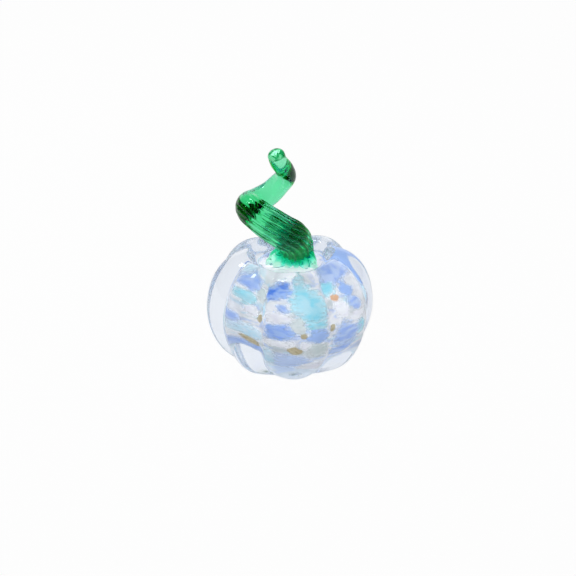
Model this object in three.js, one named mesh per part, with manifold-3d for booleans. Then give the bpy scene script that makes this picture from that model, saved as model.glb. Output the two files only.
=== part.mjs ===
// A blown glass pumpkin: a ribbed clear casing over a blown core, chips of coloured glass and
// copper flecks pressed into the core, and a twisted green stem that closes the neck.
// Millimetres, +Z up. The origin is the centre of the flat base. Azimuth 0 faces -Y, the front,
// and grows towards +X. Latitude is measured on the core, from its widest ring.

import * as THREE from "three";
import { mergeVertices } from "three/addons/utils/BufferGeometryUtils.js";
import Module from "manifold-3d";

const wasm = await Module();
wasm.setup();

const { degToRad, lerp, smoothstep } = THREE.MathUtils;
const FULL_TURN = 2 * Math.PI;
const QUARTER_TURN = Math.PI / 2;

// Fit between pieces that are fused on the real object
const FIT_GAP = 0.3;

// Casing: the last gather of clear glass, ribbed in a mould
const BODY_DIAMETER = 80;
const EQUATOR_HEIGHT = 28.5;
const SHOULDER_HEIGHT = 55.5;
const SHOULDER_DIAMETER = 43;
const BASE_DIAMETER = 37;
const DIMPLE_DEPTH = 4;
const SEAT_DIAMETER = 27.2;
const SIDE_WALL = 12.5;
const BASE_WALL = 6.7;
const CROWN_WALL = 2.2;
const LOBE_COUNT = 8;
const LOBE_TURN = 4;
// How far each groove lies from its even place, in degrees, from the front lobe's right groove on
const GROOVE_SHIFTS = [2.7, 5.5, 3, 0, 0, 2, 6, -1.9];
const GROOVE_DEPTH = 3.6;
const GROOVE_FADE = 14;
const CROWN_FADE = 8;
const FACETS_PER_LOBE = 6;
const CASING_ROWS = 8;
const DIMPLE_ROWS = 4;

// Core: the blown bubble that carries the colour, with a neck that the stem closes
const CORE_DRIFT = 3.8;
const DRIFT_FADE = 12.5;
const CORE_BACKING = 1;
const NECK_DIAMETER = 11;
const NECK_BORE = 6;
const CORE_FACETS = 40;
const CORE_ROW_HEIGHT = 4.8;

// Chips: frit that was rolled into the core and stretched with it as it was blown
const CHIP_THICKNESS = 1.3;
const CHIP_EDGE = 0.4;
const CHIP_SPOKES = 7;
const CHIP_MID_RING = 0.62;
const CHIP_OVAL = 0.07;
const CHIP_ROUGH = 0.08;
const GOLDEN_ANGLE = 2.4;

// Stem: a ribbed rod of green glass, trailed on hot and wound into a curl
const STEM_DIAMETER = 15.6;
const TIP_DIAMETER = 7.6;
const TAPER_START = 0.08;
const TAPER_END = 1.1;
const STEM_RIBS = 16;
const RIB_HEIGHT = 0.5;
const RIB_END = 0.62;
const RIB_TWIST = -30;
const FOOT_DIAMETER = 15.8;
const FOOT_OFFSET = 2.6;
const FOOT_EDGE = 0.8;
const FOOT_SCALLOP = 0.5;
const FOOT_ROWS = 5;
const FLARE_POWER = 2;
const PLUG_DEPTH = 3;
const STEM_REACH = 19.2;
const STEM_DEPTH = 9.5;
const STEM_RISE = 55.6;
const STEM_STEPS = 32;
const TIP_EDGE = 1.9;
const TIP_DOME = 0.1;
const TIP_ROWS = 3;

// Tongues of the foot, where hot glass ran out to the left and to the right: degrees and millimetres
const TONGUES = [
  { azimuth: -64, width: 32, reach: 6.2 },
  { azimuth: 42, width: 24, reach: 4.6 },
];

// The stem's centre line from the top of its foot to its tip: right, back and up from the seat,
// as shares of the stem's reach, depth and rise
const STEM_ROUTE = [
  [0.14, -0.06, 0.13],
  [0.12, -0.22, 0.19],
  [0.03, -0.45, 0.255],
  [-0.19, -0.74, 0.325],
  [-0.45, -1, 0.408],
  [-0.71, -0.92, 0.47],
  [-0.92, -0.54, 0.505],
  [-0.97, 0, 0.51],
  [-0.79, 0.52, 0.513],
  [-0.5, 0.84, 0.558],
  [-0.27, 0.79, 0.643],
  [-0.11, 0.37, 0.74],
  [-0.15, -0.1, 0.84],
  [-0.28, -0.48, 0.932],
  [-0.328, -0.63, 0.99],
];

// Places that several pieces share
const bodyRadius = BODY_DIAMETER / 2;
const baseRadius = BASE_DIAMETER / 2;
const shoulderRadius = SHOULDER_DIAMETER / 2;
const footRadius = FOOT_DIAMETER / 2;
const seatRadius = SEAT_DIAMETER / 2;
const seatHeight = SHOULDER_HEIGHT - DIMPLE_DEPTH;
const cavityRadius = bodyRadius - SIDE_WALL;
const cavityHalf = (seatHeight - CROWN_WALL - BASE_WALL) / 2;
const coreRadius = cavityRadius - FIT_GAP;
const coreHalf = cavityHalf - FIT_GAP;
const coreCentre = BASE_WALL + cavityHalf;
const coreRows = Math.ceil((Math.PI * cavityHalf) / CORE_ROW_HEIGHT);
const driftEnd = seatHeight - 2 * PLUG_DEPTH;
const coreWall = CHIP_THICKNESS + FIT_GAP + CORE_BACKING;
const neckRadius = NECK_DIAMETER / 2;
const boreRadius = NECK_BORE / 2;

// Colours of the glasses and the copper
const GLASS = { roughness: 0.05, metalness: 0 };
const METAL = { roughness: 0.35, metalness: 0.8 };
const finishes = {
  clear_casing: new THREE.MeshStandardMaterial({ color: 0xeaf1f6, ...GLASS }),
  core_bubble: new THREE.MeshStandardMaterial({ color: 0xdde6f0, ...GLASS }),
  stem: new THREE.MeshStandardMaterial({ color: 0x0f9a52, ...GLASS }),
  deep_blue_chip: new THREE.MeshStandardMaterial({ color: 0x466ee1, ...GLASS }),
  periwinkle_chip: new THREE.MeshStandardMaterial({ color: 0x8ca5eb, ...GLASS }),
  turquoise_chip: new THREE.MeshStandardMaterial({ color: 0x8cd7e6, ...GLASS }),
  sky_chip: new THREE.MeshStandardMaterial({ color: 0xb9e1f5, ...GLASS }),
  white_chip: new THREE.MeshStandardMaterial({ color: 0xe6e6f2, ...GLASS }),
  sage_chip: new THREE.MeshStandardMaterial({ color: 0xc8d4d4, ...GLASS }),
  copper_fleck: new THREE.MeshStandardMaterial({ color: 0xc98a5e, ...METAL }),
};

// Chips of each colour: azimuth, latitude, half width, half height and turn, in degrees of the core
const CHIPS = {
  deep_blue_chip: [
    [-14, 44.5, 9.8, 5.6, 28],
    [-16, 2.5, 9.5, 7, 0],
    [15.5, -2.8, 8, 6, 0],
    [65.5, 33.5, 3.4, 4, 0],
    [120, 27, 13, 8, -10],
    [176, 8, 9, 8, 20],
    [-128, -18, 9, 6, -10],
    [150, 62, 9, 6, 0],
  ],
  periwinkle_chip: [
    [-11, 28.5, 3.4, 3.4, 0],
    [-10, -39, 9, 8, 0],
    [-56, 43, 6, 5.4, 10],
    [-66, 3, 3, 4.5, 0],
    [-60, -29, 14, 5, -8],
    [72, 47.5, 8, 5, 0],
    [62, 20.5, 3.5, 5, 0],
    [48, -9, 10, 10, 0],
    [48, -31, 8, 5, 0],
    [160, -28, 9, 6, 0],
    [-108, 18, 7, 8, 0],
    [-150, 60, 9, 6, 0],
  ],
  turquoise_chip: [
    [13, 31.5, 11, 14.5, 0],
    [14.5, 10.2, 7.5, 3.2, 0],
    [-57, 28, 6, 4.6, 0],
    [49, 42, 6.5, 4.6, 0],
    [63.5, -8, 3, 6.5, 0],
    [90, -20, 6, 7, 0],
    [146, -2, 7, 9, 0],
    [-94, -14, 7, 7, 0],
    [-152, 22, 8, 7, 0],
  ],
  sky_chip: [
    [-76, 53, 7, 4.8, 0],
    [-35, 24, 3.2, 6, 0],
    [-51, -8, 10, 6, 0],
    [-28, -34, 4.2, 8.5, 0],
    [100, 12, 6, 7, 0],
    [-176, 38, 8, 6, 0],
    [-112, 44, 7, 5, 0],
  ],
  white_chip: [
    [-17.5, 18, 8, 5, 0],
    [-16.5, -11.5, 8, 3.5, 0],
    [4, -13.5, 2.4, 3.8, 0],
    [-53, 17, 5.5, 3.6, 0],
    [48, 20, 5.5, 6.3, 0],
    [60, 8, 6, 4, 0],
    [8, -50, 5.5, 5, 0],
    [118, -6, 6, 7, 0],
    [-142, -42, 8, 6, 0],
  ],
  sage_chip: [
    [-1.5, 10.8, 4.5, 6.2, 0],
    [15, -22, 7.5, 8, 0],
    [-41.5, 38, 4.2, 5, 0],
    [-72, -12, 3.3, 5, 0],
    [122, -36, 7, 5, 0],
  ],
  copper_fleck: [
    [3, -1, 2.3, 3.4, 0],
    [-4, -21, 4.3, 5, 0],
    [-42, 12, 3, 3.6, 0],
    [-55, -19.5, 10, 2, -8],
    [50, 32.3, 3.3, 3, 0],
    [33.5, 3, 2.6, 4, 0],
  ],
};

function solidOf(geometry) {
  const bare = geometry.clone();
  bare.deleteAttribute("normal");
  bare.deleteAttribute("uv");
  const merged = mergeVertices(bare, 1e-4);
  return new wasm.Manifold(
    new wasm.Mesh({
      numProp: 3,
      vertProperties: merged.attributes.position.array,
      triVerts: new Uint32Array(merged.index.array),
    }),
  );
}

function geometryOf(solid) {
  const { vertProperties, triVerts } = solid.getMesh();
  const geometry = new THREE.BufferGeometry();
  geometry.setAttribute("position", new THREE.BufferAttribute(vertProperties, 3));
  geometry.setIndex(new THREE.BufferAttribute(triVerts, 1));
  geometry.computeVertexNormals();
  return geometry;
}

// Closes a stack of equal rings into one skin, with a fan to a pole at each end.
// Rings turn counter-clockwise as seen from the last pole.
function skin(rings, firstPole, lastPole) {
  const count = rings[0].length;
  const points = [...rings.flat(), firstPole, lastPole];
  const first = points.length - 2;
  const last = points.length - 1;
  const faces = [];
  for (let side = 0; side < count; side++) {
    const next = (side + 1) % count;
    faces.push(first, next, side);
    for (let row = 0; row < rings.length - 1; row++) {
      const low = row * count;
      const high = low + count;
      faces.push(low + side, low + next, high + side);
      faces.push(low + next, high + next, high + side);
    }
    const top = (rings.length - 1) * count;
    faces.push(last, top + side, top + next);
  }
  const geometry = new THREE.BufferGeometry().setFromPoints(points);
  geometry.setIndex(faces);
  geometry.computeVertexNormals();
  return geometry;
}

// A lathe profile turned about +Z, starting at the first lobe's crest
function turned(profile, facets) {
  return new THREE.LatheGeometry(profile, facets, degToRad(LOBE_TURN), FULL_TURN);
}

function arc(centreHeight, across, up, fromAngle, toAngle, rows, centreOut = 0) {
  const clockwise = toAngle < fromAngle;
  return new THREE.EllipseCurve(
    centreOut, centreHeight, across, up, fromAngle, toAngle, clockwise,
  ).getPoints(rows);
}

// Where a neck of this radius leaves an oval bubble, as an angle of its outline
function neckAngle(radius, across) {
  return Math.acos(radius / across);
}

// Meridian of a lobe's crest, from the centre of the base to the edge of the stem's seat
function crestProfile() {
  const flank = arc(
    EQUATOR_HEIGHT, bodyRadius - baseRadius, EQUATOR_HEIGHT, -QUARTER_TURN, 0, CASING_ROWS, baseRadius,
  );
  const shoulder = arc(
    EQUATOR_HEIGHT, bodyRadius - shoulderRadius, SHOULDER_HEIGHT - EQUATOR_HEIGHT, 0, QUARTER_TURN,
    CASING_ROWS, shoulderRadius,
  );
  const middle = (shoulderRadius + seatRadius) / 2;
  const dimple = new THREE.CubicBezierCurve(
    new THREE.Vector2(shoulderRadius, SHOULDER_HEIGHT),
    new THREE.Vector2(middle, SHOULDER_HEIGHT),
    new THREE.Vector2(middle, seatHeight),
    new THREE.Vector2(seatRadius, seatHeight),
  ).getPoints(DIMPLE_ROWS);
  return [new THREE.Vector2(0, 0), ...flank, ...shoulder.slice(1), ...dimple.slice(1)];
}

// How deep the mould's rib presses at a point of the crest, from 0 to 1
function grooveShare(point) {
  return point.y < EQUATOR_HEIGHT
    ? smoothstep(point.x, baseRadius, baseRadius + GROOVE_FADE)
    : smoothstep(point.x, seatRadius, shoulderRadius + CROWN_FADE);
}

// How far the casing is turned from its even place at this many lobes from the front, in degrees
function grooveShift(lobes) {
  const fromFirstGroove = lobes - 0.5 + LOBE_COUNT;
  const groove = Math.floor(fromFirstGroove);
  const before = GROOVE_SHIFTS[groove % LOBE_COUNT];
  const after = GROOVE_SHIFTS[(groove + 1) % LOBE_COUNT];
  return lerp(before, after, fromFirstGroove - groove);
}

// Presses the mould's ribs into the first rows of a lathed casing, along the crest's normals
function pressGrooves(geometry, crest, rowCount) {
  const place = geometry.attributes.position;
  const facets = LOBE_COUNT * FACETS_PER_LOBE;
  for (let facet = 0; facet <= facets; facet++) {
    const turn = (facet / facets) * FULL_TURN;
    const groove = 1 - Math.abs(Math.cos((turn * LOBE_COUNT) / 2));
    const shift = grooveShift(facet / FACETS_PER_LOBE);
    crest.forEach((point, row) => {
      const before = crest[Math.max(row - 1, 0)];
      const after = crest[Math.min(row + 1, crest.length - 1)];
      const along = after.clone().sub(before).normalize();
      const azimuth = turn + degToRad(LOBE_TURN + shift * grooveShare(point));
      const depth = GROOVE_DEPTH * groove * grooveShare(point);
      const out = point.x - depth * along.y;
      const up = point.y + depth * along.x;
      place.setXYZ(facet * rowCount + row, out * Math.sin(azimuth), up, out * Math.cos(azimuth));
    });
  }
}

// The core was blown a little off the axis: how far it lies to the right at a height. Its neck is centred.
function drift(height) {
  return CORE_DRIFT * (1 - smoothstep(height, driftEnd - DRIFT_FADE, driftEnd));
}

// Moves a lathed skin sideways with the core, from its first drifting row on
function drifted(geometry, rowCount, firstRow = 0) {
  const place = geometry.attributes.position;
  for (let index = 0; index < place.count; index++) {
    if (index % rowCount >= firstRow) {
      place.setX(index, place.getX(index) + drift(place.getZ(index)));
    }
  }
  return geometry;
}

function makeCasing() {
  const mouth = neckRadius + FIT_GAP;
  const crest = crestProfile();
  const cavity = arc(
    coreCentre, cavityRadius, cavityHalf, neckAngle(mouth, cavityRadius), -QUARTER_TURN, coreRows,
  );
  const profile = [...crest, new THREE.Vector2(mouth, seatHeight), ...cavity];
  const geometry = turned(profile, LOBE_COUNT * FACETS_PER_LOBE);
  pressGrooves(geometry, crest, profile.length);
  return drifted(geometry.rotateX(QUARTER_TURN), profile.length, crest.length);
}

function makeBubble() {
  const airRadius = coreRadius - coreWall;
  const airHalf = coreHalf - coreWall;
  const outside = arc(
    coreCentre, coreRadius, coreHalf, -QUARTER_TURN, neckAngle(neckRadius, coreRadius), coreRows,
  );
  const inside = arc(
    coreCentre, airRadius, airHalf, neckAngle(boreRadius, airRadius), -QUARTER_TURN, coreRows,
  );
  const rim = [new THREE.Vector2(neckRadius, seatHeight), new THREE.Vector2(boreRadius, seatHeight)];
  const profile = [...outside, ...rim, ...inside];
  return drifted(turned(profile, CORE_FACETS).rotateX(QUARTER_TURN), profile.length);
}

// A point on the core, or above it by rise along the core's normal
function onCore(azimuth, latitude, rise) {
  const outward = new THREE.Vector3(
    Math.cos(latitude) * Math.sin(azimuth),
    -Math.cos(latitude) * Math.cos(azimuth),
    Math.sin(latitude),
  );
  const size = new THREE.Vector3(coreRadius, coreRadius, coreHalf);
  const normal = outward.clone().divide(size).normalize();
  const place = outward.multiply(size).addScaledVector(normal, rise);
  place.z += coreCentre;
  place.x += drift(place.z);
  return place;
}

// One chip's rings on the core. spread widens its outline in millimetres.
function chipRing(chip, serial, share, spread, rise) {
  const [azimuth, latitude, halfWidth, halfHeight, turn] = chip.map(degToRad);
  const ring = [];
  for (let spoke = 0; spoke < CHIP_SPOKES; spoke++) {
    const angle = (spoke / CHIP_SPOKES) * FULL_TURN;
    const oval = CHIP_OVAL * Math.cos(2 * angle + serial);
    const rough = CHIP_ROUGH * Math.cos(3 * angle + serial * GOLDEN_ANGLE);
    const bulge = 1 + oval + rough;
    const across = (halfWidth * bulge + spread / coreRadius) * share * Math.cos(angle);
    const up = (halfHeight * bulge + spread / coreHalf) * share * Math.sin(angle);
    const sideways = across * Math.cos(turn) - up * Math.sin(turn);
    const upwards = across * Math.sin(turn) + up * Math.cos(turn);
    ring.push(onCore(azimuth + sideways / Math.cos(latitude), latitude + upwards, rise));
  }
  return ring;
}

// A chip fills its outline from the core's surface down to a rounded back. The same skin, grown
// by the fit gap and raised above the surface, cuts the pocket that the chip lies in.
function chipSkin(chip, serial, gap, topRise) {
  const [azimuth, latitude] = chip.map(degToRad);
  const midBack = lerp(CHIP_THICKNESS, CHIP_EDGE, CHIP_MID_RING ** 2);
  const rings = [
    chipRing(chip, serial, CHIP_MID_RING, gap, -midBack - gap),
    chipRing(chip, serial, 1, gap, -CHIP_EDGE - gap),
    chipRing(chip, serial, 1, gap, topRise),
    chipRing(chip, serial, CHIP_MID_RING, gap, topRise),
  ];
  return skin(rings, onCore(azimuth, latitude, -CHIP_THICKNESS - gap), onCore(azimuth, latitude, topRise));
}

// The stem's own radius along its length, without ribs
function stemRadius(share) {
  return lerp(STEM_DIAMETER, TIP_DIAMETER, smoothstep(share, TAPER_START, TAPER_END)) / 2;
}

// Radii of a ring of the stem, as crests and valleys of its ribs in turn
function ribbed(radius, ribHeight) {
  const crest = radius + ribHeight / 2;
  const valley = radius - ribHeight / 2;
  return Array.from({ length: STEM_RIBS * 2 }, (_, side) => (side % 2 ? valley : crest));
}

function stemRing(centre, normal, binormal, radii, twist) {
  return radii.map((radius, side) => {
    const angle = (side / radii.length) * FULL_TURN + twist;
    return centre.clone()
      .addScaledVector(normal, radius * Math.cos(angle))
      .addScaledVector(binormal, radius * Math.sin(angle));
  });
}

// How much of a tongue there is in a direction, from 0 to 1
function tongueShare(tongue, outward) {
  const middle = degToRad(tongue.azimuth);
  const towards = new THREE.Vector3(Math.sin(middle), -Math.cos(middle), 0);
  return Math.exp(-((towards.angleTo(outward) / degToRad(tongue.width)) ** 2));
}

// What is left of the foot's reach at a share of its height. A tongue is round, and the rest hugs the rod.
function flare(share, roundness) {
  return lerp((1 - share) ** FLARE_POWER, Math.sqrt(1 - share ** 2), roundness);
}

// The rings of the foot: the plug, the flat underside, and a flare that leans over to the start of the rod
function footRings(lean, normal, binormal) {
  const levelNormal = normal.clone().setZ(0).normalize();
  const levelBinormal = new THREE.Vector3(0, 0, 1).cross(levelNormal);
  const footHeight = seatHeight + FIT_GAP;
  const plug = ribbed(boreRadius - FIT_GAP, 0);
  const rod = ribbed(stemRadius(0), RIB_HEIGHT);
  const edge = ribbed(footRadius, FOOT_SCALLOP * 2);
  const roundness = rod.map(() => 0);
  const outwards = stemRing(new THREE.Vector3(), levelNormal, levelBinormal, ribbed(1, 0), 0);
  outwards.forEach((outward, side) => {
    for (const tongue of TONGUES) {
      const share = tongueShare(tongue, outward);
      edge[side] += tongue.reach * share;
      roundness[side] = Math.min(roundness[side] + share, 1);
    }
  });
  const levelRing = (across, height, radii) => stemRing(
    new THREE.Vector3(across, 0, height), levelNormal, levelBinormal, radii, 0,
  );
  const rings = [
    levelRing(0, seatHeight - PLUG_DEPTH, plug),
    levelRing(0, footHeight, plug),
    levelRing(FOOT_OFFSET, footHeight, edge),
  ];
  const start = new THREE.Vector3(FOOT_OFFSET, 0, footHeight + FOOT_EDGE);
  for (let row = 0; row < FOOT_ROWS; row++) {
    const share = row / FOOT_ROWS;
    rings.push(stemRing(
      start.clone().lerp(lean, share),
      levelNormal.clone().lerp(normal, share).normalize(),
      levelBinormal.clone().lerp(binormal, share).normalize(),
      rod.map((radius, side) => lerp(radius, edge[side], flare(share, roundness[side]))),
      0,
    ));
  }
  return rings;
}

function makeStem() {
  const seat = new THREE.Vector3(0, 0, seatHeight);
  const size = new THREE.Vector3(STEM_REACH, STEM_DEPTH, STEM_RISE);
  const route = new THREE.CatmullRomCurve3(
    STEM_ROUTE.map((shares) => new THREE.Vector3(...shares).multiply(size).add(seat)),
  );
  const { tangents, normals, binormals } = route.computeFrenetFrames(STEM_STEPS);
  const rings = footRings(route.getPointAt(0), normals[0], binormals[0]);
  for (let step = 0; step <= STEM_STEPS; step++) {
    const share = step / STEM_STEPS;
    const ribHeight = RIB_HEIGHT * (1 - smoothstep(share, 0, RIB_END));
    rings.push(stemRing(
      route.getPointAt(share), normals[step], binormals[step],
      ribbed(stemRadius(share), ribHeight), degToRad(RIB_TWIST) * share,
    ));
  }
  const end = route.getPointAt(1);
  const ahead = tangents[STEM_STEPS];
  const tipRadius = stemRadius(1);
  for (let row = 1; row <= TIP_ROWS; row++) {
    const angle = (row / TIP_ROWS) * QUARTER_TURN;
    rings.push(stemRing(
      end.clone().addScaledVector(ahead, TIP_EDGE * Math.sin(angle)),
      normals[STEM_STEPS], binormals[STEM_STEPS],
      ribbed(tipRadius - TIP_EDGE * (1 - Math.cos(angle)), 0), degToRad(RIB_TWIST),
    ));
  }
  const tip = end.clone().addScaledVector(ahead, TIP_EDGE + TIP_DOME);
  return skin(rings, seat.clone().setZ(seatHeight - PLUG_DEPTH), tip);
}

const pumpkin = new THREE.Group();

function addPiece(name, geometry, finish) {
  const mesh = new THREE.Mesh(geometry, finish);
  mesh.name = name;
  pumpkin.add(mesh);
}

let core = solidOf(makeBubble());
let serial = 0;
for (const [kind, chips] of Object.entries(CHIPS)) {
  chips.forEach((chip, index) => {
    serial += 1;
    core = core.subtract(solidOf(chipSkin(chip, serial, FIT_GAP, CHIP_THICKNESS)));
    addPiece(`${kind}_${index + 1}`, chipSkin(chip, serial, 0, 0), finishes[kind]);
  });
}
addPiece("core_bubble", geometryOf(core), finishes.core_bubble);
addPiece("clear_casing", makeCasing(), finishes.clear_casing);
addPiece("stem", makeStem(), finishes.stem);

export default pumpkin;
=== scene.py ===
# %% [markdown]
# # A blown glass pumpkin
# The real piece is made hot, in four steps: a small bubble is rolled in chips of coloured glass, it is
# dipped in clear glass and pressed in a ribbed mould, and a ribbed green rod is trailed on as the stem.
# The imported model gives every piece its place, so this lesson only makes the pieces finer and gives them
# their glass. Lengths are in metres, +Z is up, and the front of the pumpkin faces -Y.

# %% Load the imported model
import math

import bpy
import numpy as np
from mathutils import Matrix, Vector, noise


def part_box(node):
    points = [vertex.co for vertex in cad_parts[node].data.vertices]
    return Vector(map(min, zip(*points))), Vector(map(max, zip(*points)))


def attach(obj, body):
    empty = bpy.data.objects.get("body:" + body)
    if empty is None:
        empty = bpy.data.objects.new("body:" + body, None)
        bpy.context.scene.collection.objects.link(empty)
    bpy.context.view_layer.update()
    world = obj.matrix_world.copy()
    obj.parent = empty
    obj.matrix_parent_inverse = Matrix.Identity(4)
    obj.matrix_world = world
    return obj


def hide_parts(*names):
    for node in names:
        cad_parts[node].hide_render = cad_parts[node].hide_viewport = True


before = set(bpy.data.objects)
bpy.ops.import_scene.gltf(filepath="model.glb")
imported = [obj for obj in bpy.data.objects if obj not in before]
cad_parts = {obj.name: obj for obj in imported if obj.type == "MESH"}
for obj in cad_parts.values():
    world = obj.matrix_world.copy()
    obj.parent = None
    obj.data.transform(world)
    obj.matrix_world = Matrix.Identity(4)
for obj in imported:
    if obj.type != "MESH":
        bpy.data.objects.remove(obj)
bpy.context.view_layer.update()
scene = bpy.context.scene
scene.view_settings.view_transform = "Standard"
MM = 0.001
print("pieces in the packed model:", len(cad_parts))

# %% [markdown]
# ## Camera
# The pumpkin is seen from slightly above, through a short telephoto lens. Measured on the photo, its body is
# 167 pixels wide, and its middle lies a little below the middle of the picture. A shifted lens would frame
# it too, but aiming a little higher keeps the lens plain. A round body shows its outline nearer to the
# camera than its middle, which makes the lens a hair shorter.

# %% Place the camera
PICTURE_SIDE = 576
SENSOR_WIDTH = 36.0
BODY_WIDTH = 80 * MM
BODY_WIDTH_PIXELS = 167
BODY_MIDDLE_PIXEL = (290.3, 303.5)
BODY_MIDDLE = Vector((0, 0, 28.5 * MM))
CAMERA_DISTANCE = 0.6
CAMERA_ELEVATION = math.radians(28)
CLIP_START = 0.01

backward = Vector((0, -math.cos(CAMERA_ELEVATION), math.sin(CAMERA_ELEVATION)))
picture_up = Vector((0, math.sin(CAMERA_ELEVATION), math.cos(CAMERA_ELEVATION)))
picture_right = Vector((1, 0, 0))
metres_per_pixel = BODY_WIDTH / BODY_WIDTH_PIXELS
too_far_right = (BODY_MIDDLE_PIXEL[0] - PICTURE_SIDE / 2) * metres_per_pixel
too_far_down = (BODY_MIDDLE_PIXEL[1] - PICTURE_SIDE / 2) * metres_per_pixel
aim = BODY_MIDDLE - picture_right * too_far_right + picture_up * too_far_down

camera_data = bpy.data.cameras.new("camera")
camera_data.sensor_width = SENSOR_WIDTH
outline_share = math.sqrt(1 - (BODY_WIDTH / 2 / CAMERA_DISTANCE) ** 2)
camera_data.lens = SENSOR_WIDTH * CAMERA_DISTANCE * outline_share / (metres_per_pixel * PICTURE_SIDE)
camera_data.clip_start = CLIP_START
camera = bpy.data.objects.new("camera", camera_data)
camera.location = BODY_MIDDLE + backward * CAMERA_DISTANCE
camera.rotation_euler = (aim - camera.location).to_track_quat("-Z", "Y").to_euler()
scene.collection.objects.link(camera)
scene.camera = camera
print("lens in mm:", round(camera_data.lens, 1))

# %% [markdown]
# ## Shader nodes written as sums
# A material in Blender is a graph of nodes. Adding and linking each node by hand hides the idea of a
# finish in the plumbing, so one small class wraps a socket: sums on it add Math nodes, and its `node`
# method adds any other node, with the settings first and the sockets after them.

# %% A socket that can be added, multiplied and mixed
class Socket:
    """A socket in a node tree. Python's operators on it add Math nodes."""

    def __init__(self, tree, out=None):
        self.tree = tree
        self.out = out

    def node(self, kind, settings=None, values=None, output=None):
        made = self.tree.nodes.new(kind)
        for name, setting in (settings or {}).items():
            setattr(made, name, setting)
        for key, value in (values or {}).items():
            self.fill(made, key, value)
        shown = [socket for socket in made.outputs if socket.enabled and output in (None, socket.name)]
        return Socket(self.tree, shown[0] if shown else None)

    def fill(self, made, key, value):
        if isinstance(key, int):
            socket = made.inputs[key]
        else:
            socket = next(one for one in made.inputs if one.enabled and one.name == key)
        if isinstance(value, Socket):
            self.tree.links.new(value.out, socket)
        else:
            socket.default_value = value

    def maths(self, operation, first, second):
        return self.node("ShaderNodeMath", {"operation": operation}, {0: first, 1: second})

    def __add__(self, other):
        return self.maths("ADD", self, other)

    def __mul__(self, other):
        return self.maths("MULTIPLY", self, other)

    def __sub__(self, other):
        return self.maths("SUBTRACT", self, other)

    def __rsub__(self, other):
        return self.maths("SUBTRACT", other, self)

    __radd__ = __add__
    __rmul__ = __mul__

    def at_most(self, other):
        return self.maths("MINIMUM", self, other)

    def vector_maths(self, operation, other, output="Vector"):
        return self.node("ShaderNodeVectorMath", {"operation": operation}, {0: self, 1: other}, output)

    def rising(self, low, high):
        """0 below low and 1 above high, with a soft step between."""
        edges = {"Value": self, "From Min": low, "From Max": high}
        return self.node("ShaderNodeMapRange", {"interpolation_type": "SMOOTHSTEP"}, edges)

    def blend(self, first, second):
        """The first colour where this value is 0, and the second where it is 1."""
        colours = {"Factor": self, "A": first, "B": second}
        return self.node("ShaderNodeMix", {"data_type": "RGBA"}, colours)


def colour(red, green, blue):
    """A colour as a screen shows it, from 0 to 255, as the linear colour that shaders take."""
    shares = [part / 255 for part in (red, green, blue)]
    linear = [one / 12.92 if one <= 0.04045 else ((one + 0.055) / 1.055) ** 2.4 for one in shares]
    return (*linear, 1.0)


def empty_tree(owner):
    owner.use_nodes = True
    owner.node_tree.nodes.clear()
    return Socket(owner.node_tree)


def start_finish(name):
    material = bpy.data.materials.new(name)
    return material, empty_tree(material)


def end_finish(paint, shader, volume=None):
    sockets = {"Surface": shader}
    if volume is not None:
        sockets["Volume"] = volume
    paint.node("ShaderNodeOutputMaterial", {}, sockets)


def object_place(paint):
    """Where a point of the surface lies, in metres."""
    return paint.node("ShaderNodeTexCoord", output="Object")


def grain(paint, scale, place=None, detail=2.0, distortion=0.0):
    """A soft noise from 0 to 1. Without a place it fills the box of the piece."""
    values = {"Scale": scale, "Detail": detail, "Distortion": distortion}
    if place is not None:
        values["Vector"] = place
    return paint.node("ShaderNodeTexNoise", {}, values, output="Fac")


def point_mark(paint, name):
    """A number that was kept with each point of the mesh."""
    return paint.node("ShaderNodeAttribute", {"attribute_name": name}, output="Fac")


print("shader maths ready")

# %% [markdown]
# ## Light
# Clear glass has no colour of its own: it shows the room, bent. The room here is a white tent with one dim
# side, above the camera, and the Light Path node gives each kind of ray its own view of it. Rays through
# clear glass find the dim side pale grey, which draws soft lines in the lobes. Rays that crossed the stem's
# colour rod find it nearly dark, which deepens the green. Rays that were only mirrored on the outside see a
# dark room, so that no white haze lies on the glass. Rays that gather light for a colour inside the glass
# meet a brighter tent, because the casing keeps part of that light back. One soft lamp overhead gives the
# highlights and the shadow.

# %% The white tent
TENT_WHITE = (1.0, 1.0, 1.0, 1.0)
TENT_PALE = (0.71, 0.75, 0.79, 1.0)
TENT_DARK = (0.06, 0.06, 0.066, 1.0)
TENT_INSIDE = (1.95, 1.95, 1.95, 1.0)
DIM_SIDE = (0.0, -0.7, 0.7)
PALE_EDGES = (-0.5, 0.8)
DARK_EDGES = (-0.1, 0.2)
CAMERA_SIDE = (0.0, -0.88, 0.47)
MIRROR_EDGES = (-0.85, -0.45)
FILL_LEVEL = 0.5

world = bpy.data.worlds.new("white_tent")
world.cycles.sampling_method = "NONE"
scene.world = world
tent = empty_tree(world)


def path(paint, question):
    """What the Light Path node knows about a ray."""
    return paint.node("ShaderNodeLightPath", output=question)


def lighting_rays(paint):
    """1 for rays that have left a matt surface to gather its light, and 0 for rays from the camera."""
    return path(paint, "Diffuse Depth").at_most(1.0)


def seen_rays(paint):
    """1 for rays that show the surroundings, straight or in glass, and 0 for rays that light surfaces."""
    in_air = path(paint, "Is Camera Ray") + path(paint, "Is Glossy Ray")
    return (in_air + path(paint, "Is Transmission Ray")).at_most(1.0)


def mirrored_rays(paint):
    """1 for rays that were only mirrored on the outside of the glass, and 0 for all others."""
    through_glass = path(paint, "Transmission Depth").at_most(1.0)
    return path(paint, "Is Glossy Ray") * (1 - through_glass)


def stem_rays(paint):
    """1 for rays that crossed the colour rod in the stem, whose skin is transparent, and 0 for others."""
    return path(paint, "Transparent Depth").at_most(1.0)


def towards(side):
    """How far a ray heads towards a side of the tent, from -1 to 1."""
    direction = tent.node("ShaderNodeTexCoord", output="Generated")
    return direction.vector_maths("DOT_PRODUCT", side, "Value")


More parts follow.
